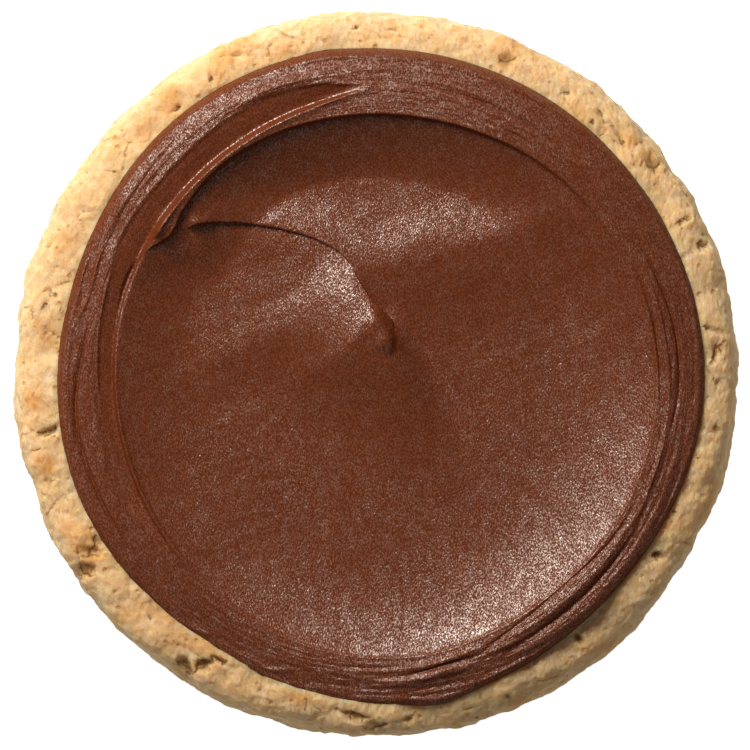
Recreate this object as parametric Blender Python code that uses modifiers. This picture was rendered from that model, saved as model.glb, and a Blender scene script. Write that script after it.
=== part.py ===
"""Round peanut butter cookie with a thick spread disc of chocolate frosting on top.

The cookie is a turned, thick disc with a flat base, a rounded shoulder and a craggy rim.
The frosting lies on it with a dished middle, a ridged rim, and a swirl that ends in a small curl.
Blender's unit is the metre. Sizes are given in millimetres and turned into metres by MM.
The origin is on the flat base, at the cookie's centre, and +Z points up.
"""

import itertools
import math

import bmesh
import bpy
import numpy as np

MM = 0.001

# Cookie
COOKIE_RADIUS = 50.0
COOKIE_SEGMENTS = 120
WIDEST_HEIGHT = 6.5
SHOULDER_START = 40.0
SHOULDER_DROP = 8.0
SHOULDER_POWER = 4.4
SUNKEN_DEPTH = 3.4
SUNKEN_RADIUS = 42.0
SUNKEN_POWER = 4.0
BASE_RADIUS = 47.0
TOP_RINGS = (20.0, 28.0, 33.0, 37.0, 40.0, 42.0, 44.2, 45.2, 46.1, 47.0, 47.8, 48.5, 49.1, 49.6, 49.85, 49.97)
SIDE_RINGS = 5
BASE_RING = 24.0

# Lumps of the baked dough
LATTICE = 32
BROAD_LUMPS = (9.0, 0.5, 11)
SMALL_LUMPS = (4.2, 0.36, 12)
CLUMPS = (5.2, 0.55, 13)
BASE_FADE = 2.5

# Cracks and pits: direction in degrees, distance from the centre, length round the cookie,
# length outwards, turn in degrees, depth
HOLLOWS = (
    (67.2, 46.8, 1.3, 1.6, 0.0, 1.3),
    (43.9, 47.0, 1.6, 0.9, 20.0, 0.9),
    (37.4, 48.1, 1.6, 1.1, 0.0, 0.8),
    (3.3, 47.6, 1.6, 1.0, 30.0, 0.9),
    (327.2, 46.5, 0.9, 1.3, -20.0, 1.1),
    (307.4, 46.1, 0.8, 1.1, 0.0, 1.0),
    (268.8, 48.0, 3.0, 1.2, 10.0, 1.0),
    (239.2, 46.8, 1.2, 2.4, 25.0, 1.4),
    (212.6, 46.8, 1.2, 2.8, 15.0, 1.4),
    (190.0, 45.9, 0.9, 1.6, 0.0, 0.9),
    (113.7, 48.0, 1.2, 0.9, 0.0, 0.7),
    (126.9, 46.0, 1.2, 0.9, 0.0, 0.7),
)

# Frosting
FROSTING_CENTRE = (0.61, -0.68)
FROSTING_RADIUS = 44.75
FROSTING_SEGMENTS = 108
FROSTING_WAVES = ((1, 0.60, 100.0), (2, 0.31, -84.0), (3, 0.17, 13.0), (4, 0.37, 10.0), (5, 0.24, -14.0))
FLAPS = ((281.0, 5.0, 0.75), (100.0, 4.0, 0.25))
REST_GAP = 0.3
FLOOR_HEIGHT = 12.8
HOLLOW_RISE = 0.4
RIM_POWER = 2.5
WALL_POWER = 1.5
STEP_WIDTH = 0.9
LOW_STEP = 0.2
HIGH_STEP = 0.65
DISH_EDGE = (
    (-80.0, 38.5), (-40.0, 37.9), (0.0, 38.0), (50.0, 37.0), (100.0, 36.4), (130.0, 36.4), (145.0, 35.2),
    (158.0, 37.4), (180.0, 36.4), (205.0, 36.2), (240.0, 37.3), (280.0, 38.5),
)

# Slope round the dish: direction, then its start over the dish's edge, its power, and its rise
DISH_SLOPES = (
    (-180.0, 0.66, 1.9, 2.9), (-150.0, 0.68, 1.9, 2.5), (-125.0, 0.66, 2.2, 2.0), (-100.0, 0.50, 3.2, 2.0),
    (-75.0, 0.35, 3.8, 2.8), (-50.0, 0.30, 4.0, 3.5), (-25.0, 0.34, 3.6, 3.2), (0.0, 0.48, 2.8, 2.8),
    (20.0, 0.64, 1.9, 3.1), (45.0, 0.72, 1.5, 3.8), (90.0, 0.76, 1.3, 4.2), (120.0, 0.76, 1.3, 4.2),
    (150.0, 0.72, 1.5, 3.6), (180.0, 0.66, 1.9, 2.9),
)

# Rim: direction, the width of its rounded outer shoulder, and how far it rises towards that shoulder
SHOULDERS = (
    (-180.0, 1.0, -0.5), (-150.0, 1.1, -0.5), (-125.0, 1.4, -0.5), (-100.0, 1.3, -0.6), (-75.0, 1.0, -0.7),
    (-50.0, 0.8, -0.9), (-25.0, 0.8, -0.9), (0.0, 0.8, -0.7), (45.0, 1.0, -0.9), (60.0, 1.1, -1.0),
    (100.0, 1.2, -1.1), (130.0, 1.2, -1.2), (150.0, 1.2, -1.0), (180.0, 1.0, -0.5),
)

# Rings of the turned disc
DISH_RINGS = 20
DISH_GRID = 36.0
RIM_RINGS = 7
WALL_RINGS = 5
WALL_SPAN = 1.7
BED_RINGS = (42.5, 40.5, 38.0, 34.0, 30.0, 22.0)

# Strokes left by the spatula: half width, then direction, distance from the frosting's centre, height
STROKES = (
    (1.5, ((92.0, 40.4, 0.0), (106.0, 40.2, -0.9), (125.0, 39.4, -1.0), (146.0, 38.8, -0.8), (166.0, 38.4, -0.5),
           (190.0, 37.9, -0.35), (220.0, 37.8, 0.0))),
    (0.9, ((90.0, 40.6, 0.0), (100.0, 38.9, 0.5), (118.0, 37.7, 0.6), (138.0, 36.9, 0.6), (148.0, 36.1, 0.0))),
    (0.9, ((85.0, 42.3, 0.0), (110.0, 43.0, 0.4), (140.0, 43.0, 0.4), (162.0, 42.3, 0.0))),
    (0.8, ((160.0, 40.6, 0.0), (175.0, 41.2, -0.3), (195.0, 41.9, -0.3), (212.0, 41.6, 0.0))),
    (0.7, ((290.0, 40.0, 0.0), (300.0, 38.6, -0.3), (312.0, 38.1, -0.35), (332.0, 39.1, 0.0))),
    (1.0, ((290.0, 40.6, 0.0), (300.0, 40.0, 0.35), (314.0, 39.8, 0.4), (334.0, 40.2, 0.0))),
    (0.8, ((296.0, 41.4, 0.0), (306.0, 41.1, -0.3), (320.0, 40.9, -0.3), (336.0, 41.0, 0.0))),
    (0.8, ((296.0, 42.4, 0.0), (306.0, 42.4, 0.4), (318.0, 42.4, 0.45), (345.0, 42.3, 0.0))),
    (0.8, ((-4.0, 41.2, 0.0), (8.0, 41.1, -0.4), (24.0, 40.4, -0.4), (34.0, 40.2, 0.0))),
    (0.9, ((270.0, 41.2, 0.0), (280.0, 40.9, 0.4), (290.0, 41.3, 0.0))),
)

# Broad swell of the dish's floor, whose two sides differ in size
SWELL_CENTRE = (6.0, 15.5)
SWELL_TURN = 12.0
SWELL_LENGTH = 23.0
SWELL_SIDES = (8.0, 16.0)
SWELL_HEIGHT = 1.25
SWELL_FADE = 3.0

# Swirl: the lip of the upper layer, the tongue under it, and the curl at their meeting point
LIP_LINE = ((-26.6, 19.8), (-20.0, 20.9), (-12.2, 19.8), (-5.6, 17.1), (-2.2, 12.6), (-0.3, 10.0), (2.6, 5.6))
LIP_RIDGE = (1.1, 5.0)
LIP_STEP = (0.25, -0.3, 2.5)
TONGUE_LINE = ((5.5, 12.0), (3.0, 10.2), (-0.9, 7.2), (-2.6, 5.3), (-6.2, 1.75), (-10.5, -0.6), (-20.0, -4.0))
TONGUE_HEIGHT = 3.1
TONGUE_CENTRE = (-2.6, 6.0)
TONGUE_TURN = 142.0
TONGUE_SIZE = (12.0, 8.5)
TONGUE_POWER = 1.35
TONGUE_FALL = (12.0, 5.0)
TONGUE_END = 2.6
TONGUE_END_WIDTH = 5.5
TONGUE_END_TURN = 25.0
CURL_CENTRE = (0.8, 5.4)
CURL_TURN = -62.0
CURL_SIZE = (2.7, 1.2)
CURL_HEIGHT = 0.6
LINE_SAMPLES = 41


def clear_scene():
    """Removes whatever the scene holds."""
    for thing in list(bpy.data.objects):
        bpy.data.objects.remove(thing, do_unlink=True)


def smooth(value):
    """Runs from 0 to 1 with flat ends: 3t^2 - 2t^3 of the value held between 0 and 1."""
    held = np.clip(value, 0.0, 1.0)
    return held * held * (3.0 - 2.0 * held)


def curve_through(value, places, levels):
    """Cubic curve that passes through each level at its place and is level beyond the last ones."""
    places, levels = np.asarray(places), np.asarray(levels)
    slopes = np.gradient(levels, places)
    left = np.clip(np.searchsorted(places, value) - 1, 0, len(places) - 2)
    span = places[left + 1] - places[left]
    part = np.clip((value - places[left]) / span, 0.0, 1.0)
    rest = 1.0 - part
    return (
        levels[left] * rest * rest * (1.0 + 2.0 * part)
        + levels[left + 1] * part * part * (1.0 + 2.0 * rest)
        + slopes[left] * span * part * rest * rest
        - slopes[left + 1] * span * rest * part * part
    )


def turned_into(degrees, first, last):
    """The same direction, counted so that it runs on without a jump between first and last."""
    middle = 0.5 * (first + last)
    return (degrees - middle + 180.0) % 360.0 - 180.0 + middle


def lattice_noise(points, cell, seed):
    """Smooth noise of about -1 to 1, from random slopes on a cubic lattice of the given spacing."""
    slopes = np.random.default_rng(seed).normal(size=(LATTICE, LATTICE, LATTICE, 3))
    slopes /= np.linalg.norm(slopes, axis=-1, keepdims=True)
    scaled = points / cell
    corner = np.floor(scaled).astype(int)
    part = scaled - corner
    fade = part ** 3 * (part * (part * 6.0 - 15.0) + 10.0)
    total = np.zeros(len(points))
    for offset in itertools.product((0, 1), repeat=3):
        at = (corner + offset) % LATTICE
        weight = np.prod(np.where(offset, fade, 1.0 - fade), axis=1)
        total += weight * np.sum(slopes[at[:, 0], at[:, 1], at[:, 2]] * (part - offset), axis=1)
    return total * 1.6


def clump_distance(points, cell, seed):
    """Distance to the nearest of the scattered clump centres, one in each lattice cube, in cells."""
    centres = np.random.default_rng(seed).random((LATTICE, LATTICE, LATTICE, 3))
    scaled = points / cell
    corner = np.floor(scaled).astype(int)
    nearest = np.full(len(points), np.inf)
    for offset in itertools.product((-1, 0, 1), repeat=3):
        cube = corner + offset
        at = cube % LATTICE
        centre = cube + centres[at[:, 0], at[:, 1], at[:, 2]]
        nearest = np.minimum(nearest, np.linalg.norm(scaled - centre, axis=1))
    return nearest


def cookie_top(x, y):
    """Height of the cookie's smooth upper side: sunken under the frosting, and rounded off at the shoulder."""
    radius = np.hypot(x, y)
    over = np.clip((radius - SHOULDER_START) / (COOKIE_RADIUS - SHOULDER_START), 0.0, 1.0)
    shoulder = (1.0 - over ** SHOULDER_POWER) ** (1.0 / SHOULDER_POWER)
    sunken = SUNKEN_DEPTH * (1.0 - np.minimum(radius / SUNKEN_RADIUS, 1.0) ** SUNKEN_POWER)
    return WIDEST_HEIGHT + SHOULDER_DROP * shoulder - sunken


def frosting_polar(x, y):
    """Distance from the frosting's centre, and direction in degrees."""
    across, up = x - FROSTING_CENTRE[0], y - FROSTING_CENTRE[1]
    return np.hypot(across, up), np.degrees(np.arctan2(up, across))


def frosting_outline(degrees):
    """Distance from the frosting's centre to its outer edge: a few waves round a circle, and two flaps."""
    outline = np.full(np.shape(degrees), FROSTING_RADIUS)
    for count, size, towards in FROSTING_WAVES:
        outline = outline + size * np.cos(count * np.radians(degrees - towards))
    for middle, half_width, size in FLAPS:
        away = (degrees - middle + 180.0) % 360.0 - 180.0
        outline = outline + size * np.exp(-((away / half_width) ** 2))
    return outline


def stroke_relief(distance, degrees, half_width, points):
    """Height of one ridge, or depth of one groove, with a bell-shaped section along a curved line."""
    directions, radii, heights = zip(*points)
    along = turned_into(degrees, directions[0], directions[-1])
    middle = curve_through(along, directions, radii)
    height = curve_through(along, directions, heights)
    return height * np.exp(-(((distance - middle) / half_width) ** 2))


def line_samples(corners):
    """Points on the smooth curve through the corners, evenly spread between them."""
    across, up = zip(*corners)
    steps = np.arange(len(corners), dtype=float)
    spread = np.linspace(0.0, len(corners) - 1.0, LINE_SAMPLES)
    return np.stack((curve_through(spread, steps, across), curve_through(spread, steps, up)), axis=1)


def beside_line(x, y, line):
    """Distance from a line, positive on its left, and the nearest point's place on it, from 0 to 1."""
    start, step = line[:-1], np.diff(line, axis=0)
    offset = np.stack((x, y), axis=1)[:, None, :] - start
    part = np.clip(np.sum(offset * step, axis=2) / np.sum(step * step, axis=1), 0.0, 1.0)
    gap = offset - part[:, :, None] * step
    distance = np.linalg.norm(gap, axis=2)
    rows, nearest = np.arange(len(x)), np.argmin(distance, axis=1)
    gap, step = gap[rows, nearest], step[nearest]
    side = np.where(step[:, 0] * gap[:, 1] > step[:, 1] * gap[:, 0], 1.0, -1.0)
    return side * distance[rows, nearest], (nearest + part[rows, nearest]) / len(start)


def along_and_across(x, y, centre, turn):
    """Distances from a centre, along a direction given in degrees and across it."""
    cosine, sine = math.cos(math.radians(turn)), math.sin(math.radians(turn))
    across, up = x - centre[0], y - centre[1]
    return across * cosine + up * sine, up * cosine - across * sine


def swirl_relief(x, y):
    """Ridge along the lip's line with a step down at the line, the tongue that climbs to its crest, and
    the curl. The higher of the ridge and the tongue counts, blended."""
    away, along = beside_line(x, y, line_samples(LIP_LINE))
    start = smooth(along / 0.1)
    upper, lower, step_reach = LIP_STEP
    step = np.where(away > 0.0, upper, lower) * np.exp(-((away / step_reach) ** 2))
    relief = start * smooth((0.75 - along) / 0.4) * LIP_RIDGE[0] * np.exp(-((away / LIP_RIDGE[1]) ** 2))
    relief = relief + start * smooth((1.0 - along) / 0.3) * step
    covered = np.where(away > 0.0, smooth((along - 0.82) / 0.18), 1.0)
    past, along = beside_line(x, y, line_samples(TONGUE_LINE))
    _, sideways = along_and_across(x, y, TONGUE_CENTRE, TONGUE_TURN)
    reach, breadth = TONGUE_SIZE
    climb = np.clip(1.0 + past / reach, 0.0, 1.0) ** TONGUE_POWER * np.exp(-((sideways / breadth) ** 2))
    onwards, _ = along_and_across(x, y, (0.0, 0.0), TONGUE_END_TURN)
    climb *= 1.0 - smooth((onwards - TONGUE_END) / TONGUE_END_WIDTH)
    sharp, gentle = TONGUE_FALL
    fall = sharp + gentle * smooth((along - 0.1) / 0.7)
    tongue = TONGUE_HEIGHT * climb * covered * np.exp(-((np.maximum(past, 0.0) / fall) ** 2))
    relief = 0.5 * (relief + tongue + np.sqrt((relief - tongue) ** 2 + 0.02 * covered))
    forward, sideways = along_and_across(x, y, CURL_CENTRE, CURL_TURN)
    curl = np.exp(-((forward / CURL_SIZE[0]) ** 2) - (sideways / CURL_SIZE[1]) ** 2)
    return relief + CURL_HEIGHT * curl


def dish_height(part, degrees):
    """Height of the dish where part is the distance over the edge's: a shallow hollow and a growing slope."""
    places, starts, powers, rises = zip(*DISH_SLOPES)
    along = turned_into(degrees, -180.0, 180.0)
    start, power, rise = (curve_through(along, places, levels) for levels in (starts, powers, rises))
    climb = np.clip((part - start) / (1.0 - start), 0.0, 1.0) ** power
    return FLOOR_HEIGHT + HOLLOW_RISE * part ** 2 + rise * climb


def floor_swell(x, y):
    """Broad swell of the dish's floor, steep on its upper side and gentle on its lower one."""
    forward, sideways = along_and_across(x, y, SWELL_CENTRE, SWELL_TURN)
    width = np.where(sideways > 0.0, *SWELL_SIDES)
    return SWELL_HEIGHT * np.exp(-((forward / SWELL_LENGTH) ** 2) - (sideways / width) ** 2)


def frosting_top(x, y):
    """Height of the frosting's upper side, from the middle of the dish to the foot of the outer wall."""
    distance, degrees = frosting_polar(x, y)
    edge_places, edge_levels = zip(*DISH_EDGE)
    edge = curve_through(turned_into(degrees, edge_places[0], edge_places[-1]), edge_places, edge_levels)
    outline = frosting_outline(degrees)
    places, widths, rises = zip(*SHOULDERS)
    along = turned_into(degrees, -180.0, 180.0)
    wall_start = outline - curve_through(along, places, widths)
    dish = dish_height(np.clip(distance / edge, 0.0, 1.0), degrees)
    upper = smooth((turned_into(degrees, -80.0, 280.0) - 30.0) / 40.0)
    upper *= smooth((152.0 - turned_into(degrees, -28.0, 332.0)) / 8.0)
    step = LOW_STEP + HIGH_STEP * upper
    outwards = smooth((distance - edge) / (wall_start - edge)) ** RIM_POWER
    rise = curve_through(along, places, rises) * outwards
    rim = dish_height(np.ones_like(edge), degrees) + step + rise
    height = dish + (rim - dish) * smooth((distance - edge) / STEP_WIDTH + 0.5)
    for half_width, points in STROKES:
        height = height + stroke_relief(distance, degrees, half_width, points)
    swell = floor_swell(x, y) * smooth((edge - distance) / SWELL_FADE)
    height = height + swell + swirl_relief(x, y)
    bed = cookie_top(x, y) + REST_GAP
    over = np.clip((distance - wall_start) / (outline - wall_start), 0.0, 1.0)
    return bed + (height - bed) * (1.0 - over ** WALL_POWER) ** (1.0 / WALL_POWER)


def cookie_relief(points):
    """How far the baked surface stands out from its smooth form: lumps, clumps, cracks and pits."""
    relief = np.zeros(len(points))
    for cell, height, seed in (BROAD_LUMPS, SMALL_LUMPS):
        relief += height * lattice_noise(points, cell, seed)
    cell, height, seed = CLUMPS
    relief += height * (0.35 - clump_distance(points, cell, seed) ** 2)
    radius = np.hypot(points[:, 0], points[:, 1])
    degrees = np.degrees(np.arctan2(points[:, 1], points[:, 0]))
    for towards, distance, round_size, out_size, turn, depth in HOLLOWS:
        away = (degrees - towards + 180.0) % 360.0 - 180.0
        sideways, outwards = np.radians(away) * distance, radius - distance
        cosine, sine = math.cos(math.radians(turn)), math.sin(math.radians(turn))
        a = (sideways * cosine + outwards * sine) / round_size
        b = (outwards * cosine - sideways * sine) / out_size
        relief -= depth * np.exp(-a * a - b * b) * (points[:, 2] > WIDEST_HEIGHT)
    return relief


def shape_cookie(points, normals):
    """Moves the turned surface along its normals, except under the frosting and at the flat base."""
    distance, degrees = frosting_polar(points[:, 0], points[:, 1])
    clear = smooth((distance - frosting_outline(degrees) - REST_GAP) / 1.2)
    clear = np.where(points[:, 2] > WIDEST_HEIGHT, clear, 1.0)
    clear *= smooth(points[:, 2] / BASE_FADE)
    return points + normals * (cookie_relief(points) * clear)[:, None]


def shape_frosting(points, _normals):
    """Stretches the turned disc to its outline, then sets its upper side and its bed to their heights."""
    degrees = np.degrees(np.arctan2(points[:, 1], points[:, 0]))
    stretch = frosting_outline(degrees) / FROSTING_RADIUS
    x = points[:, 0] * stretch + FROSTING_CENTRE[0]
    y = points[:, 1] * stretch + FROSTING_CENTRE[1]
    z = np.where(points[:, 2] > 0.0, frosting_top(x, y), cookie_top(x, y) + REST_GAP)
    return np.stack((x, y, z), axis=1)


def cookie_profile():
    """Half section of the cookie from the middle of its top, down its side, to the middle of its base."""
    points = [(0.0, float(cookie_top(0.0, 0.0)))]
    points += [(radius, float(cookie_top(radius, 0.0))) for radius in TOP_RINGS]
    points.append((COOKIE_RADIUS, WIDEST_HEIGHT))
    for ring in range(1, SIDE_RINGS + 1):
        turn = 0.5 * math.pi * ring / SIDE_RINGS
        tuck = COOKIE_RADIUS - BASE_RADIUS
        points.append((BASE_RADIUS + tuck * math.cos(turn), WIDEST_HEIGHT * (1.0 - math.sin(turn))))
    return points + [(BASE_RING, 0.0), (0.0, 0.0)]


def frosting_profile():
    """Half section of a plain disc, whose rings lie closer together over the rim and down the wall."""
    wall_start = FROSTING_RADIUS - WALL_SPAN
    radii = [DISH_GRID * (ring / DISH_RINGS) ** 0.9 for ring in range(DISH_RINGS + 1)]
    radii += [DISH_GRID + (wall_start - DISH_GRID) * ring / RIM_RINGS for ring in range(1, RIM_RINGS + 1)]
    turns = [0.5 * math.pi * ring / WALL_RINGS for ring in range(1, WALL_RINGS)]
    radii += [wall_start + WALL_SPAN * math.sin(turn) for turn in turns]
    return [(radius, 1.0) for radius in radii] + [(FROSTING_RADIUS, 0.0)] + [(r, 0.0) for r in BED_RINGS + (0.0,)]


def turned_object(name, profile, segments, shape, material, collection):
    """Turns a profile with a Screw modifier, makes it a mesh, and moves its points by the shape function."""
    outline = bpy.data.meshes.new(name + "_profile")
    corners = [(radius * MM, 0.0, height * MM) for radius, height in profile]
    outline.from_pydata(corners, [(i, i + 1) for i in range(len(corners) - 1)], [])
    turned = bpy.data.objects.new(name + "_turned", outline)
    collection.objects.link(turned)
    screw = turned.modifiers.new("turn", "SCREW")
    screw.steps = screw.render_steps = segments
    screw.use_merge_vertices = True
    screw.merge_threshold = 0.00001
    depsgraph = bpy.context.evaluated_depsgraph_get()
    mesh = bpy.data.meshes.new_from_object(turned.evaluated_get(depsgraph))
    bpy.data.objects.remove(turned, do_unlink=True)
    mesh.name = name

    surface = bmesh.new()
    surface.from_mesh(mesh)
    bmesh.ops.remove_doubles(surface, verts=surface.verts, dist=0.00001)
    bmesh.ops.recalc_face_normals(surface, faces=surface.faces)
    surface.to_mesh(mesh)
    surface.free()

    points = np.empty(len(mesh.vertices) * 3)
    normals = np.empty(len(mesh.vertices) * 3)
    mesh.vertices.foreach_get("co", points)
    mesh.vertices.foreach_get("normal", normals)
    moved = shape(points.reshape(-1, 3) / MM, normals.reshape(-1, 3))
    mesh.vertices.foreach_set("co", (moved * MM).ravel())
    mesh.shade_smooth()
    mesh.materials.append(material)
    mesh.update()
    piece = bpy.data.objects.new(name, mesh)
    collection.objects.link(piece)
    return piece


def linear(*levels):
    """Linear colour of a screen colour given in levels of 0 to 255."""
    parts = [level / 255.0 for level in levels]
    return [part / 12.92 if part <= 0.04045 else ((part + 0.055) / 1.055) ** 2.4 for part in parts]


def finish(name, colour, roughness):
    """Plain material of one colour and roughness."""
    material = bpy.data.materials.new(name)
    material.use_nodes = True
    shader = material.node_tree.nodes["Principled BSDF"]
    shader.inputs["Base Color"].default_value = (*linear(*colour), 1.0)
    shader.inputs["Roughness"].default_value = roughness
    shader.inputs["Metallic"].default_value = 0.0
    return material


def main():
    """Builds the cookie and the frosting that lies on it."""
    clear_scene()
    collection = bpy.data.collections.new("peanut_butter_cookie")
    bpy.context.scene.collection.children.link(collection)
    dough = finish("baked_dough", (232, 188, 128), 0.85)
    chocolate = finish("chocolate_frosting", (108, 62, 42), 0.45)
    turned_object("cookie", cookie_profile(), COOKIE_SEGMENTS, shape_cookie, dough, collection)
    turned_object("frosting", frosting_profile(), FROSTING_SEGMENTS, shape_frosting, chocolate, collection)


if __name__ == "__main__":
    main()
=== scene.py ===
"""Finished look of a round peanut butter cookie under a spread disc of chocolate frosting.

Each surface is worked out with numpy as a height or a relief over a turned form, in millimetres, and is
written into its mesh in metres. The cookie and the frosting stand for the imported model's two solids and
keep their forms: the frosting's dish, rim, strokes and swirl, and the cookie's shoulder, lumps and cracks.
"""

import itertools
import logging
import math
from dataclasses import dataclass
from enum import Enum

import bpy
import numpy as np
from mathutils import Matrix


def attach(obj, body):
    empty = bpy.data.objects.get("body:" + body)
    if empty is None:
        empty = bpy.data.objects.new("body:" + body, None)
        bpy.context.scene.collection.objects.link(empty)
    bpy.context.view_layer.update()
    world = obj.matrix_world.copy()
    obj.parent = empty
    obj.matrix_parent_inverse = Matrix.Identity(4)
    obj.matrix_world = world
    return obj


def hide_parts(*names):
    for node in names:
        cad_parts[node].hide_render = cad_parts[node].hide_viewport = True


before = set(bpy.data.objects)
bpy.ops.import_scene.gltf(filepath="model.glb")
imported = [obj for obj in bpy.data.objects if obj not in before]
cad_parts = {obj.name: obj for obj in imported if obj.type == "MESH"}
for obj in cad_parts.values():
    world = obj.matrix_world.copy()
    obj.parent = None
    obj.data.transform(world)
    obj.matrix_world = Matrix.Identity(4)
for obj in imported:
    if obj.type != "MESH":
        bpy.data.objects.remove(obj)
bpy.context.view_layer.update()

log = logging.getLogger("cookie")

MM = 0.001
WHITE = (1.0, 1.0, 1.0, 1.0)
THINNEST_STROKE = 0.05
Array = np.ndarray
Pair = tuple[float, float]
Triple = tuple[float, float, float]


def smooth(value: Array) -> Array:
    """Runs from 0 to 1 with flat ends: 3t^2 - 2t^3 of the value held between 0 and 1."""
    held = np.clip(value, 0.0, 1.0)
    return held * held * (3.0 - 2.0 * held)


def bell(value: Array) -> Array:
    """Bell curve exp(-v^2), which is 1 at v = 0."""
    return np.exp(-value * value)


def turned(x: Array, y: Array, degrees: float) -> tuple[Array, Array]:
    """Distances along a direction, x cos + y sin, and to its left, y cos - x sin."""
    cosine, sine = math.cos(math.radians(degrees)), math.sin(math.radians(degrees))
    return x * cosine + y * sine, y * cosine - x * sine


def mound(x: Array, y: Array, centre: Pair, size: Pair, turn: float) -> Array:
    """Bell exp(-(a^2 + b^2)) about a centre, a and b counted in its half sizes along its turn and across."""
    forward, sideways = turned(x - centre[0], y - centre[1], turn)
    return np.exp(-((forward / size[0]) ** 2) - (sideways / size[1]) ** 2)


def angle_from(degrees: Array, middle: float) -> Array:
    """How far a direction lies from the middle one, from -180 to 180 degrees."""
    return (degrees - middle + 180.0) % 360.0 - 180.0


def turned_into(degrees: Array, first: float, last: float) -> Array:
    """The same direction, counted so that it runs on without a jump between first and last."""
    middle = 0.5 * (first + last)
    return angle_from(degrees, middle) + middle


def curve_through(value: Array, places: Array, levels: Array) -> Array:
    """Cubic curve through given levels, level beyond the last ones.

    Each span is a Hermite cubic whose end slopes are the finite differences of the levels.

    Args:
        value: where to read the curve.
        places: the places of the given levels, rising.
        levels: the level at each place.

    Returns:
        The curve's level at each value.
    """
    places, levels = np.asarray(places, float), np.asarray(levels, float)
    slopes = np.gradient(levels, places)
    left = np.clip(np.searchsorted(places, value) - 1, 0, len(places) - 2)
    span = places[left + 1] - places[left]
    part = np.clip((value - places[left]) / span, 0.0, 1.0)
    rest = 1.0 - part
    return (
        levels[left] * rest * rest * (1.0 + 2.0 * part)
        + levels[left + 1] * part * part * (1.0 + 2.0 * rest)
        + slopes[left] * span * part * rest * rest
        - slopes[left + 1] * span * rest * part * part
    )


def levels_round(degrees: Array, table: tuple) -> list[Array]:
    """Reads a table whose rows start with a direction.

    Args:
        degrees: where to read it.
        table: rows in the order of their directions, in degrees.

    Returns:
        The level of each further column at each direction, on a smooth curve through its rows.
    """
    places, *columns = zip(*table)
    along = turned_into(degrees, places[0], places[-1])
    return [curve_through(along, places, column) for column in columns]


@dataclass(frozen=True)
class Noise:
    """Noise on a cubic lattice, repeated every `repeat` cells and seeded, so that it is always the same."""

    cell: float
    seed: int
    repeat: int = 32

    def _corner(self, points: Array) -> tuple[Array, Array]:
        """Lattice cube that holds each point, and the point's place in it."""
        scaled = points / self.cell
        corner = np.floor(scaled).astype(int)
        return corner, scaled - corner

    def waves(self, points: Array) -> Array:
        """Smooth noise of about -1 to 1: random slopes at the cube's corners, blended by 6t^5-15t^4+10t^3.

        Args:
            points: places, one in each row.

        Returns:
            The noise at each place.
        """
        slopes = np.random.default_rng(self.seed).normal(size=(self.repeat, self.repeat, self.repeat, 3))
        slopes /= np.linalg.norm(slopes, axis=-1, keepdims=True)
        corner, part = self._corner(points)
        fade = part ** 3 * (part * (part * 6.0 - 15.0) + 10.0)
        total = np.zeros(len(points))
        for offset in itertools.product((0, 1), repeat=3):
            at = (corner + offset) % self.repeat
            weight = np.prod(np.where(offset, fade, 1.0 - fade), axis=1)
            total += weight * np.sum(slopes[at[:, 0], at[:, 1], at[:, 2]] * (part - offset), axis=1)
        return total * 1.6

    def clumps(self, points: Array) -> tuple[Array, Array, Array]:
        """Distances to scattered centres, one in each lattice cube.

        Args:
            points: places, one in each row.

        Returns:
            Distance to the nearest centre and to the second nearest, in cells, and a random number from
            0 to 1 that belongs to the nearest centre.
        """
        draws = np.random.default_rng(self.seed).random((self.repeat, self.repeat, self.repeat, 3))
        marks = np.random.default_rng(self.seed + 1).random((self.repeat, self.repeat, self.repeat))
        corner, _ = self._corner(points)
        scaled = points / self.cell
        first = second = np.full(len(points), np.inf)
        mark = np.zeros(len(points))
        for offset in itertools.product((-1, 0, 1), repeat=3):
            cube = corner + offset
            key = tuple((cube % self.repeat).T)
            distance = np.linalg.norm(scaled - cube - draws[key], axis=1)
            nearer = distance < first
            second = np.where(nearer, first, np.minimum(second, distance))
            mark = np.where(nearer, marks[key], mark)
            first = np.where(nearer, distance, first)
        return first, second, mark


@dataclass(frozen=True)
class Line:
    """Smooth line on the plane through a few corners, in millimetres."""

    corners: tuple[Pair, ...]
    samples: int = 61

    def points(self) -> Array:
        """Points on the curve through the corners, evenly spread between them."""
        steps = np.arange(len(self.corners), dtype=float)
        spread = np.linspace(0.0, len(self.corners) - 1.0, self.samples)
        return np.column_stack([curve_through(spread, steps, part) for part in zip(*self.corners)])

    def beside(self, x: Array, y: Array) -> tuple[Array, Array, Array]:
        """Where each place lies beside the line: the nearest of its straight pieces is found for each.

        Args:
            x, y: places across and up.

        Returns:
            Signed distance, positive on the line's left; how far along the nearest point is, from 0 to 1;
            and the unit vector from the nearest point to the place.
        """
        line = self.points()
        start, step = line[:-1], np.diff(line, axis=0)
        offset = np.column_stack((x, y))[:, None, :] - start
        part = np.clip(np.sum(offset * step, axis=2) / np.sum(step * step, axis=1), 0.0, 1.0)
        gap = offset - part[:, :, None] * step
        distance = np.linalg.norm(gap, axis=2)
        rows, nearest = np.arange(len(x)), np.argmin(distance, axis=1)
        gap, step, away = gap[rows, nearest], step[nearest], distance[rows, nearest]
        side = np.where(step[:, 0] * gap[:, 1] > step[:, 1] * gap[:, 0], 1.0, -1.0)
        along = (nearest + part[rows, nearest]) / len(start)
        return side * away, along, gap / np.maximum(away, 1e-6)[:, None]


class Section(Enum):
    """Shape of a stroke's cross-section."""

    ROUND = "round"
    CREST = "crest"
    FLAT = "flat"


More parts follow.
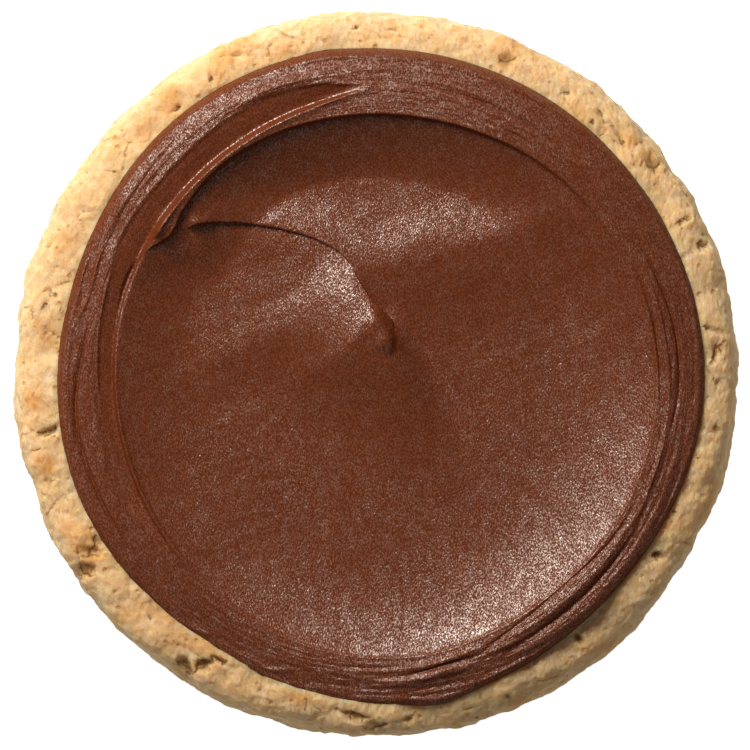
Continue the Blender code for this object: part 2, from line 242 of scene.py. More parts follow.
@dataclass(frozen=True)
class Stroke:
    """Ridge or groove that the spatula left: a section carried along a line round the frosting's centre.

    Each point gives a direction in degrees, the distance from the centre, the half width and the height,
    in millimetres. Cubic curves join them. lean above 0 makes the outer side wider than the inner one,
    and tilt above 0 makes the inner side's height or depth greater than the outer one's.
    """

    points: tuple[tuple[float, ...], ...]
    section: Section = Section.CREST
    lean: float = 0.0
    tilt: float = 0.0

    def relief(self, distance: Array, degrees: Array) -> Array:
        """Height that the stroke adds.

        A round section is a bell, a crest is (1.03 - sqrt(0.36 a^2 + 0.001))^3, and a flat one is level
        out to its sides, where a is the distance across the stroke over its half width.

        Args:
            distance: distance of each place from the frosting's centre.
            degrees: direction of each place.

        Returns:
            The stroke's height at each place.
        """
        radius, width, height = levels_round(degrees, self.points)
        across = distance - radius
        across = across / np.maximum(width * (1.0 + self.lean * np.sign(across)), THINNEST_STROKE)
        if self.section is Section.ROUND:
            shape = bell(across)
        elif self.section is Section.CREST:
            shape = np.clip(1.03 - np.sqrt(across * across * 0.36 + 0.001), 0.0, 1.0) ** 3
        else:
            shape = 1.0 - smooth((np.abs(across) - 0.72) / 0.5)
        return height * shape * (1.0 - self.tilt * np.clip(across, -1.2, 1.2))


@dataclass(frozen=True)
class Patches:
    """Pits, cracks or browned spots on the cookie.

    Each row gives a direction in degrees, the distance from the centre, the half size round the cookie
    and outwards, the turn in degrees, and the depth or strength. The power is 2 for bells and more for
    flatter patches with steeper sides.
    """

    power: float
    rows: tuple[tuple[float, ...], ...]

    def strongest(self, distance: Array, degrees: Array) -> Array:
        """The strongest patch at each place: each is depth exp(-(a^2 + b^2)^(power/2)).

        Args:
            distance: distance of each place from the cookie's centre.
            degrees: direction of each place.

        Returns:
            The depth or strength, 0 where there is no patch.
        """
        most = np.zeros(len(distance))
        for middle, away, around, outwards, turn, depth in self.rows:
            sideways = np.radians(angle_from(degrees, middle)) * away
            a, b = turned(sideways, distance - away, turn)
            a, b = a / around, b / outwards
            most = np.maximum(most, depth * np.exp(-((a * a + b * b) ** (0.5 * self.power))))
        return most


def round_turn(count: int) -> Array:
    """Evenly spaced directions all the way round, in radians."""
    return np.linspace(0.0, 2.0 * math.pi, count, endpoint=False)


def spun(section: Array, turn: Array) -> Array:
    """Carries pairs of distance and height round the upright axis, to one ring for each pair."""
    out, up = section[:, :1], section[:, 1:]
    return np.stack((out * np.cos(turn), out * np.sin(turn), up * np.ones_like(turn)), axis=-1)


def closed_rings(name: str, rings: Array) -> bpy.types.Object:
    """Closed body from rings of points, the first and the last of which shrink to a pole.

    Args:
        name: the new object's name.
        rings: places in millimetres, ring by ring from the top's middle to the base's middle,
            each ring anticlockwise as seen from above.

    Returns:
        The new object, linked to the scene, with its points in metres.
    """
    count, around = rings.shape[:2]
    vertices = pole_to_pole(rings) * MM
    step = np.arange(around)
    after = (step + 1) % around
    first = 1 + np.arange(count - 3)[:, None] * around
    quads = np.stack((first + step, first + around + step, first + around + after, first + after), axis=-1)
    top = np.stack((np.zeros(around, int), 1 + step, 1 + after), axis=-1)
    last = 1 + (count - 3) * around
    base = np.stack((last + after, last + step, np.full(around, len(vertices) - 1)), axis=-1)
    mesh = bpy.data.meshes.new(name)
    mesh.from_pydata(vertices.tolist(), [], quads.reshape(-1, 4).tolist() + top.tolist() + base.tolist())
    mesh.shade_smooth()
    mesh.update()
    return placed(name, mesh)


def pole_to_pole(rings: Array) -> Array:
    """One row for each point of a closed body: the first and the last ring count once, as their mean."""
    inner = rings[1:-1].reshape(-1, *rings.shape[2:])
    return np.concatenate((rings[0].mean(axis=0)[None], inner, rings[-1].mean(axis=0)[None]))


def placed(name: str, data: bpy.types.ID) -> bpy.types.Object:
    """Links a new object with the given mesh, light or camera to the scene."""
    thing = bpy.data.objects.new(name, data)
    bpy.context.scene.collection.objects.link(thing)
    return thing


def paint(piece: bpy.types.Object, name: str, rings: Array) -> None:
    """Stores one value for each point of a body made by closed_rings, for its material to read.

    Args:
        piece: the body.
        name: the attribute's name.
        rings: the values, numbers or vectors, in the body's own rings.
    """
    values = pole_to_pole(rings)
    kind, part = ("FLOAT", "value") if values.ndim == 1 else ("FLOAT_VECTOR", "vector")
    layer = piece.data.attributes.new(name, kind, "POINT")
    layer.data.foreach_set(part, values.astype(np.float32).ravel())


def linear(red: float, green: float, blue: float) -> tuple[float, float, float, float]:
    """Linear colour of a screen colour given in levels of 0 to 255."""
    parts = [level / 255.0 for level in (red, green, blue)]
    red, green, blue = [p / 12.92 if p <= 0.04045 else ((p + 0.055) / 1.055) ** 2.4 for p in parts]
    return red, green, blue, 1.0


class Nodes:
    """Places shader nodes in a tree and joins them."""

    def __init__(self, tree: bpy.types.NodeTree) -> None:
        """Works on the given tree."""
        self.tree = tree

    def fill(self, node: bpy.types.Node, inputs: dict) -> bpy.types.Node:
        """Sets a node's inputs.

        Args:
            node: the node.
            inputs: socket name or number to a value, or to an output socket, which is joined to it.

        Returns:
            The node.
        """
        for name, value in inputs.items():
            if isinstance(value, bpy.types.NodeSocket):
                self.tree.links.new(value, node.inputs[name])
            else:
                node.inputs[name].default_value = value
        return node

    def add(self, kind: str, inputs: dict | None = None, **settings: object) -> bpy.types.Node:
        """Adds one node.

        Args:
            kind: the node's type, such as "Bump".
            inputs: as for fill.
            settings: the node's own properties.

        Returns:
            The node.
        """
        node = self.tree.nodes.new("ShaderNode" + kind)
        for name, value in settings.items():
            setattr(node, name, value)
        return self.fill(node, inputs or {})

    def group(self, group: bpy.types.NodeTree, **inputs: object) -> bpy.types.Node:
        """Places a node group and sets its inputs."""
        return self.add("Group", inputs, node_tree=group)

    def place(self) -> bpy.types.NodeSocket:
        """Place on the object, in metres."""
        return self.add("TexCoord").outputs["Object"]

    def painted(self, name: str, output: str = "Fac") -> bpy.types.NodeSocket:
        """Value of an attribute that paint stored."""
        return self.add("Attribute", attribute_name=name).outputs[output]

    def ramp(self, factor: bpy.types.NodeSocket, low: float, high: float) -> bpy.types.NodeSocket:
        """Turns the factor's stretch from low to high into 0 to 1, with smooth ends."""
        stretch = {"Value": factor, "From Min": low, "From Max": high}
        return self.add("MapRange", stretch, interpolation_type="SMOOTHSTEP").outputs["Result"]

    def spread(self, factor: bpy.types.NodeSocket, low: float, high: float) -> bpy.types.NodeSocket:
        """Turns the factor's 0 to 1 into low to high."""
        return self.add("MapRange", {"Value": factor, "To Min": low, "To Max": high}).outputs["Result"]

    def mix(self, factor: object, first: object, second: object) -> bpy.types.NodeSocket:
        """Mixes two colours, or two outputs that carry one."""
        return self.add("Mix", {0: factor, 6: first, 7: second}, data_type="RGBA").outputs[2]

    def math(self, operation: str, first: object, second: object = 0.0) -> bpy.types.NodeSocket:
        """One step of arithmetic on two values, or on outputs that carry them."""
        return self.add("Math", {0: first, 1: second}, operation=operation).outputs[0]

    def times(self, first: object, second: object) -> bpy.types.NodeSocket:
        """Product of two values, or of outputs that carry them."""
        return self.math("MULTIPLY", first, second)


def new_group(name: str, inputs: dict, outputs: dict) -> tuple[Nodes, dict, bpy.types.Node]:
    """Starts a shader node group with named sockets.

    Args:
        name: the group's name.
        inputs: input name to its default value, a number or a colour.
        outputs: output name to its kind, Float or Color.

    Returns:
        The group's nodes, its input sockets by name, and its output node.
    """
    tree = bpy.data.node_groups.new(name, "ShaderNodeTree")
    for label, value in inputs.items():
        kind = "NodeSocketFloat" if isinstance(value, float) else "NodeSocketColor"
        tree.interface.new_socket(label, in_out="INPUT", socket_type=kind).default_value = value
    for label, kind in outputs.items():
        tree.interface.new_socket(label, in_out="OUTPUT", socket_type="NodeSocket" + kind)
    entry = tree.nodes.new("NodeGroupInput")
    given = {label: entry.outputs[label] for label in inputs}
    return Nodes(tree), given, tree.nodes.new("NodeGroupOutput")


def mottle_group() -> bpy.types.NodeTree:
    """Uneven colour: two sizes of noise blend a main colour towards a second one.

    The mask is noise(fine) and noise(coarse) in equal parts, stretched by the contrast about one half.

    Returns:
        The node group.
    """
    nodes, given, out = new_group(
        "mottle",
        {"Main": (0.5, 0.5, 0.5, 1.0), "Second": (0.4, 0.4, 0.4, 1.0), "Scale": 200.0, "Contrast": 2.0},
        {"Colour": "Color", "Mask": "Float"},
    )
    place = nodes.place()
    coarse = nodes.add("TexNoise", {"Vector": place, "Scale": given["Scale"], "Detail": 4.0})
    fine = nodes.add("TexNoise", {"Vector": place, "Scale": nodes.times(given["Scale"], 4.7), "Detail": 3.0})
    both = nodes.math("ADD", coarse.outputs["Fac"], fine.outputs["Fac"])
    centred = nodes.times(nodes.math("SUBTRACT", both, 1.0), given["Contrast"])
    mask = nodes.add("Clamp", {"Value": nodes.math("ADD", centred, 0.5)}).outputs[0]
    nodes.fill(out, {"Colour": nodes.mix(mask, given["Main"], given["Second"]), "Mask": mask})
    return nodes.tree


def grain_group() -> bpy.types.NodeTree:
    """Fine raised grain: cells and noise of one size, as a height of 0 to 1 and as a speckle mask.

    Returns:
        The node group.
    """
    nodes, given, out = new_group(
        "grain", {"Scale": 3000.0, "Softness": 0.5}, {"Height": "Float", "Speckle": "Float"}
    )
    turn = {"Vector": nodes.place(), "Rotation": (0.0, 0.0, 0.5), "Scale": (1.0, 0.55, 1.0)}
    sized = {"Vector": nodes.add("Mapping", turn).outputs["Vector"], "Scale": given["Scale"]}
    noise = nodes.add("TexNoise", sized | {"Detail": 1.5, "Roughness": 0.6}).outputs["Fac"]
    cells = nodes.add("TexVoronoi", sized | {"Smoothness": 0.4}, feature="SMOOTH_F1")
    bumps = nodes.math("SUBTRACT", 1.0, cells.outputs["Distance"])
    hard = nodes.times(bumps, nodes.math("SUBTRACT", 1.0, given["Softness"]))
    height = nodes.math("ADD", nodes.times(noise, given["Softness"]), hard)
    nodes.fill(out, {"Height": height, "Speckle": nodes.ramp(noise, 0.42, 0.66)})
    return nodes.tree


@dataclass(frozen=True)
class SharedEffects:
    """Node groups that more than one finish uses."""

    mottle: bpy.types.NodeTree
    grain: bpy.types.NodeTree

    @classmethod
    def build(cls) -> "SharedEffects":
        """Builds each group once."""
        return cls(mottle_group(), grain_group())


def new_material(name: str) -> tuple[bpy.types.Material, Nodes, bpy.types.Node]:
    """Starts a material, and gives it with its nodes and its Principled shader."""
    material = bpy.data.materials.new(name)
    material.use_nodes = True
    return material, Nodes(material.node_tree), material.node_tree.nodes["Principled BSDF"]


@dataclass(frozen=True)
class DoughFinish:
    """Baked dough: pale gold, amber where it browned and darker towards its base, with painted shade over the
    browner crumb of its pits and pores and a dark painted shade along its cracks.
    """

    pale: tuple = linear(222, 196, 154)
    warm: tuple = linear(220, 178, 112)
    pink: tuple = linear(224, 184, 142)
    toast: tuple = linear(200, 152, 86)
    amber: tuple = linear(206, 138, 56)
    # Painted shade over the pits' browner crumb: pits, pores and creases are darkened towards this colour.
    pit_and_shade: tuple = linear(176, 126, 58)
    baked: tuple = linear(188, 134, 74)
    # Painted shade: the dark colour drawn along the fine cracks.
    crack_and_shade: tuple = linear(122, 84, 38)
    pore_scale: float = 620.0
    crack_scale: float = 330.0
    crack_wander: float = 0.0012
    grain_scale: float = 1700.0
    grain_depth: float = 0.00035

    def material(self, effects: SharedEffects) -> bpy.types.Material:
        """Builds the material.

        Args:
            effects: the shared node groups.

        Returns:
            The material, which reads attributes for its amber spots, for the painted shade in its pits, pores
            and creases, and for its browning towards the base.
        """
        material, nodes, shader = new_material("baked_dough")
        ground, rosy, crumbs = (
            nodes.group(effects.mottle, Main=self.pale, Second=second, Scale=scale, Contrast=contrast)
            for second, scale, contrast in (
                (self.warm, 170.0, 2.2), (self.pink, 330.0, 2.6), (self.toast, 900.0, 3.0)
            )
        )
        colour = nodes.mix(0.5, ground.outputs["Colour"], rosy.outputs["Colour"])
        colour = nodes.mix(nodes.times(crumbs.outputs["Mask"], 0.6), colour, self.toast)
        place = nodes.place()
        pores = nodes.add("TexVoronoi", {"Vector": place, "Scale": self.pore_scale})
        draw = nodes.add("SeparateColor", {0: pores.outputs["Color"]}).outputs[0]
        near = nodes.ramp(pores.outputs["Distance"], 0.26, 0.1)
        pore = nodes.times(near, nodes.math("GREATER_THAN", draw, 0.6))
        # Painted shade in the pores, which are mixed part way towards the pit colour.
        colour = nodes.mix(nodes.times(pore, 0.55), colour, self.pit_and_shade)
        # Painted shade in the pits, pores and creases, over their browner crumb; the amber spots and the
        # browning towards the base are the dough's own colour.
        amber, baked, pit_and_shade = (nodes.painted(name) for name in ("amber", "baked", "pit_and_shade"))
        for mark, tint in ((amber, self.amber), (baked, self.baked), (pit_and_shade, self.pit_and_shade)):
            colour = nodes.mix(mark, colour, tint)
        wander = nodes.add("TexNoise", {"Vector": place, "Scale": 900.0, "Detail": 2.0}).outputs["Color"]
        bent = nodes.add("VectorMath", {0: wander, "Scale": self.crack_wander}, operation="SCALE")
        bent = nodes.add("VectorMath", {0: place, 1: bent.outputs["Vector"]}).outputs["Vector"]
        cells = nodes.add("TexVoronoi", {"Vector": bent, "Scale": self.crack_scale}, feature="DISTANCE_TO_EDGE")
        # Painted shade: a dark line along the fine cracks where they cross pitted dough; the same mask dents
        # the bump.
        crack_and_shade = nodes.times(nodes.ramp(cells.outputs["Distance"], 0.09, 0.0), nodes.ramp(pit_and_shade, 0.04, 0.3))
        colour = nodes.mix(nodes.times(crack_and_shade, 0.8), colour, self.crack_and_shade)
        grain = nodes.group(effects.grain, Scale=self.grain_scale, Softness=0.6)
        colour = nodes.mix(nodes.times(grain.outputs["Speckle"], 0.25), colour, self.pink)
        raised = nodes.math("SUBTRACT", grain.outputs["Height"], nodes.math("ADD", pore, crack_and_shade))
        bump = nodes.add("Bump", {"Height": raised, "Strength": 0.9, "Distance": self.grain_depth})
        nodes.fill(shader, {
            "Base Color": colour, "Normal": bump.outputs["Normal"],
            "Roughness": nodes.spread(ground.outputs["Mask"], 0.72, 0.92), "Specular IOR Level": 0.25,
            "Subsurface Weight": 1.0, "Subsurface Radius": (1.0, 0.65, 0.35), "Subsurface Scale": 0.002,
        })
        return material


@dataclass(frozen=True)
class ChocolateFinish:
    """Satin chocolate frosting whose fine sugar grain breaks its highlights into sparkles, with painted shade
    in the grain's low spots.
    """

    main: tuple = linear(116, 56, 27)
    second: tuple = linear(105, 48, 22)
    # Painted shade, mixed into the grain's low spots.
    grain_shade: tuple = linear(84, 35, 12)
    sheen: tuple = (1.0, 0.88, 0.75, 1.0)
    ior: float = 1.68
    roughness: Pair = (0.42, 0.34)
    sparkle: Pair = (0.12, 1.3)
    grain_scale: float = 5600.0
    grain_depth: float = 0.00011
    sweep_depth: float = 0.00016

    def material(self, effects: SharedEffects) -> bpy.types.Material:
        """Builds the material.

        Args:
            effects: the shared node groups.

        Returns:
            The material, which reads the attributes coarse (how much the grain stands out), rim (how
            streaky the surface is) and sweep (places counted round the frosting and across its rim).
        """
        material, nodes, shader = new_material("chocolate_frosting")
        ground = nodes.group(effects.mottle, Main=self.main, Second=self.second, Scale=90.0, Contrast=1.8)
        grain = nodes.group(effects.grain, Scale=self.grain_scale, Softness=0.8)
        height, speckle = grain.outputs["Height"], grain.outputs["Speckle"]
        # Painted shade: the grain's low spots are mixed towards a darker brown.
        low = nodes.times(nodes.ramp(height, 0.62, 0.42), 0.8)
        coarse, rim = nodes.painted("coarse"), nodes.painted("rim")
        bump = nodes.add("Bump", {"Height": height, "Strength": coarse, "Distance": self.grain_depth})
        swept = {"Vector": nodes.painted("sweep", "Vector"), "Scale": 0.8, "Detail": 3.0, "Roughness": 0.65}
        streak = nodes.add("TexNoise", swept).outputs["Fac"]
        raised = {"Height": streak, "Strength": rim, "Distance": self.sweep_depth}
        ridges = nodes.add("Bump", raised | {"Normal": bump.outputs["Normal"]})
        facing = nodes.add("LayerWeight", {"Blend": 0.5}).outputs["Facing"]
        dull = nodes.math("SUBTRACT", 1.0, nodes.times(nodes.ramp(facing, 0.05, 0.35), 0.8))
        patches = nodes.group(effects.grain, Scale=700.0, Softness=1.0).outputs["Speckle"]
        patchy = nodes.math("ADD", nodes.times(patches, 0.55), 0.65)
        nodes.fill(shader, {
            "Base Color": nodes.mix(low, ground.outputs["Colour"], self.grain_shade),
            "Normal": ridges.outputs["Normal"],
            "Roughness": nodes.spread(speckle, *self.roughness),
            "Specular IOR Level": nodes.times(nodes.times(dull, patchy), nodes.spread(speckle, *self.sparkle)),
            "IOR": self.ior,
            "Specular Tint": self.sheen,
        })
        return material


@dataclass(frozen=True)
class FloorFinish:
    """Plain studio floor that reads as white to the camera and reflects a little less."""

    colour: tuple = (0.8, 0.8, 0.8, 1.0)

    def material(self) -> bpy.types.Material:
        """Builds the material."""
        material, nodes, shader = new_material("studio_floor")
        seen = nodes.add("LightPath").outputs["Is Camera Ray"]
        look = {"Base Color": self.colour, "Roughness": 0.9, "Emission Color": WHITE, "Emission Strength": seen}
        nodes.fill(shader, look)
        return material


@dataclass
class CookieForm:
    """Smooth form of the cookie: a turned disc with a rounded shoulder and a flat base, whose top is
    sunken under the frosting."""

    radius: float = 50.0
    widest_height: float = 6.5
    shoulder_start: float = 40.0
    shoulder_drop: float = 8.0
    shoulder_power: float = 4.4
    sunken_depth: float = 3.4
    sunken_radius: float = 42.0
    sunken_power: float = 4.0
    base_radius: float = 47.0
    side_samples: int = 1500

    def top(self, x: Array, y: Array) -> Array:
        """Height of the smooth upper side.

        It is the widest height, plus the drop times (1 - t^p)^(1/p) over the shoulder, less the sunken
        depth times 1 - s^q, where s runs from 0 in the middle to 1 at the sunken part's rim.

        Args:
            x, y: places across and up.

        Returns:
            The height at each place.
        """
        distance = np.hypot(x, y)
        over = np.clip((distance - self.shoulder_start) / (self.radius - self.shoulder_start), 0.0, 1.0)
        shoulder = (1.0 - over ** self.shoulder_power) ** (1.0 / self.shoulder_power)
        sunken = 1.0 - np.minimum(distance / self.sunken_radius, 1.0) ** self.sunken_power
        return self.widest_height + self.shoulder_drop * shoulder - self.sunken_depth * sunken

    def outline(self, fine_from: float, fine_step: float, coarse_rings: int) -> tuple[Array, Array]:
        """Half section from the middle of the top, down the side, to the middle of the base.

        Args:
            fine_from: distance from the middle at which the closely spaced rings start.
            fine_step: their spacing along the section, in millimetres.
            coarse_rings: how many rings cover the hidden top, and how many the base.

        Returns:
            Distance and height of each point, and the unit normal's outward and upward parts.
        """
        turn = np.linspace(0.0, 0.5 * math.pi, self.side_samples)
        power = 2.0 / self.shoulder_power
        distance = self.shoulder_start + (self.radius - self.shoulder_start) * np.sin(turn) ** power
        height = self.widest_height + self.shoulder_drop * np.cos(turn) ** power
        tuck = self.radius - self.base_radius
        side = np.column_stack(
            (self.base_radius + tuck * np.cos(turn), self.widest_height * (1.0 - np.sin(turn)))
        )
        line = np.concatenate((np.column_stack((distance, height)), side[1:]))
        line = line[line[:, 0] >= np.where(line[:, 1] > self.widest_height, fine_from, 0.0)]
        run = np.concatenate(([0.0], np.cumsum(np.linalg.norm(np.diff(line, axis=0), axis=1))))
        marks = np.linspace(0.0, run[-1], int(run[-1] / fine_step))
        fine = np.column_stack([np.interp(marks, run, part) for part in line.T])
        inner = np.linspace(0.0, fine[0, 0], coarse_rings, endpoint=False)
        top = np.column_stack((inner, self.top(inner, np.zeros_like(inner))))
        under = np.linspace(self.base_radius, 0.0, coarse_rings + 1)[1:]
        section = np.concatenate((top, fine, np.column_stack((under, np.zeros_like(under)))))
        slope = np.gradient(section, axis=0)
        normal = np.column_stack((-slope[:, 1], slope[:, 0]))
        return section, normal / np.linalg.norm(normal, axis=1, keepdims=True)


FROSTING_STROKES = (
    # The valley between the inner ridge and the outer one, which runs on down the left side.
    Stroke(((92.5, 40.3, 0.2, 0), (96, 40.1, 0.6, -0.5), (102, 40.1, 1.3, -0.9), (112, 40, 1.9, -1),
        (122, 39.5, 1.9, -1), (140, 38.9, 1.8, -1), (152, 38.8, 1.8, -0.8), (165, 38.5, 1.5, -0.65),
        (180, 38, 1.4, -0.6), (200, 38.1, 1.5, -0.5), (222, 38.6, 1.6, 0)), Section.FLAT, tilt=0.7),
    # The inner ridge, which starts with a blunt end and widens as it joins the rim.
    Stroke(((90, 40.7, 1.2, 0), (95, 39.8, 1.2, 0.4), (100, 38.9, 1.1, 0.55), (110, 38.1, 1, 0.6),
        (120, 37.6, 0.95, 0.65), (130, 37.3, 0.95, 0.7), (140, 36.9, 1.1, 0.8), (145.5, 36.7, 1.3, 1.1),
        (146.5, 36.6, 1.3, 1.1), (148.3, 36.4, 1.1, 0)), lean=-0.1),
    # The broad outer ridge over the top left, with two thinner ones on it.
    Stroke(((80, 42.4, 0.8, 0), (96, 42.7, 0.9, 0.25), (115, 43.1, 0.9, 0.35), (140, 42.9, 0.9, 0.35),
        (152, 42.6, 0.8, 0.3), (164, 42.2, 0.6, 0)), Section.ROUND),
    Stroke(((98, 42, 0.4, 0), (108, 42.6, 0.4, 0.15), (122, 42.2, 0.4, 0.15), (134, 42, 0.3, 0))),
    Stroke(((118, 43.6, 0.4, 0), (130, 43.2, 0.4, -0.15), (146, 42.2, 0.4, -0.2), (158, 41.6, 0.3, 0))),
    Stroke(((150, 43.2, 0.4, 0), (157, 43.8, 0.4, 0.15), (163, 43.2, 0.4, 0.25), (171, 43.3, 0.3, 0))),
    Stroke(((151, 43, 0.5, 0), (157, 42.2, 0.5, 0.3), (164, 41.7, 0.5, 0.35), (172, 43.2, 0.3, 0))),
    # Thin ridges and a groove down the left side.
    Stroke(((154, 40.2, 0.4, 0), (162, 39.7, 0.5, 0.3), (172, 39.3, 0.5, 0.35), (182, 38.9, 0.4, 0.3),
        (190, 38.6, 0.4, 0))),
    Stroke(((168, 40.8, 0.4, 0), (176, 41.2, 0.5, -0.45), (186, 42.2, 0.5, -0.6), (200, 42, 0.5, -0.5),
        (216, 41.7, 0.4, 0)), lean=0.4),
    Stroke(((172, 36.9, 0.3, 0), (184, 36.6, 0.45, 0.3), (200, 36.5, 0.45, 0.35), (216, 36.8, 0.4, 0.3),
        (234, 37.6, 0.3, 0))),
    # The dark wide shoulder at the lower left, with two bright creases.
    Stroke(((228, 43.6, 0.3, 0), (233, 43.1, 0.4, 0.3), (238, 41.9, 0.3, 0))),
    Stroke(((246, 43.2, 0.3, 0), (250, 42.8, 0.4, 0.35), (254, 41.4, 0.3, 0))),
    # Ridges and grooves at the lower right.
    Stroke(((289, 40.5, 0.3, 0), (295, 39.3, 0.5, -0.3), (302, 38.6, 0.5, -0.3), (312, 38.1, 0.5, -0.3),
        (322, 38.65, 0.5, -0.3), (336, 39.2, 0.4, 0)), lean=0.2),
    Stroke(((291, 40.6, 0.5, 0), (296, 40.4, 0.9, 0.3), (305, 39.95, 1.2, 0.4), (315, 39.85, 1.2, 0.4),
        (326, 40, 1, 0.3), (338, 40.2, 0.8, 0)), Section.ROUND, -0.35),
    Stroke(((295, 41.4, 0.4, 0), (302, 41.2, 0.7, -0.25), (314, 41, 0.7, -0.25), (326, 40.8, 0.7, -0.2),
        (338, 40.9, 0.4, 0)), lean=-0.3),
    Stroke(((295, 42.4, 0.4, 0), (302, 42.4, 0.8, 0.4), (314, 42.4, 0.85, 0.5), (322, 42.35, 0.7, 0.45),
        (334, 42.3, 0.5, 0.35), (350, 42.3, 0.4, 0)), Section.ROUND, -0.2),
    Stroke(((330, 40.2, 0.4, 0), (340, 40, 0.5, 0.25), (352, 40, 0.5, 0.3), (368, 39.6, 0.5, 0.3),
        (385, 39.4, 0.5, 0.1), (395, 39.2, 0.4, 0))),
    # Ridges at the bottom.
    Stroke(((266, 42.2, 0.4, 0), (275, 41.9, 0.7, 0.5), (283, 41.3, 0.7, 0.55), (290, 41.6, 0.5, 0)),
        Section.ROUND),
    Stroke(((274, 41.2, 0.3, 0), (278, 40.8, 0.4, -0.35), (284, 40.35, 0.45, -0.4), (292, 40.5, 0.3, 0))),
    Stroke(((268, 40.4, 0.4, 0), (278, 40.15, 0.6, 0.4), (285, 39.8, 0.6, 0.45), (292, 39.6, 0.4, 0)),
        Section.ROUND),
    # Grooves along the right side and over the top right.
    Stroke(((-12, 40.5, 0.3, 0), (-4, 41.1, 0.45, -0.35), (10, 41.15, 0.5, -0.45), (22, 40.5, 0.45, -0.4),
        (32, 40, 0.3, 0))),
    Stroke(((-6, 38.7, 0.3, 0), (4, 38.5, 0.35, -0.3), (16, 38.4, 0.35, -0.3), (28, 38.1, 0.3, 0))),
    Stroke(((48, 40.2, 0.4, 0), (60, 40.4, 0.5, -0.25), (76, 40.6, 0.5, -0.3), (90, 40.9, 0.4, -0.15),
        (98, 41.2, 0.3, 0)), lean=0.3),
    Stroke(((56, 38.4, 0.2, 0), (60, 38.4, 0.25, -0.35), (64, 38.3, 0.2, 0))),
    Stroke(((34, 41.6, 0.5, 0), (42, 42, 0.6, 0.2), (52, 42.4, 0.6, 0.15), (66, 42.6, 0.5, 0))),
)


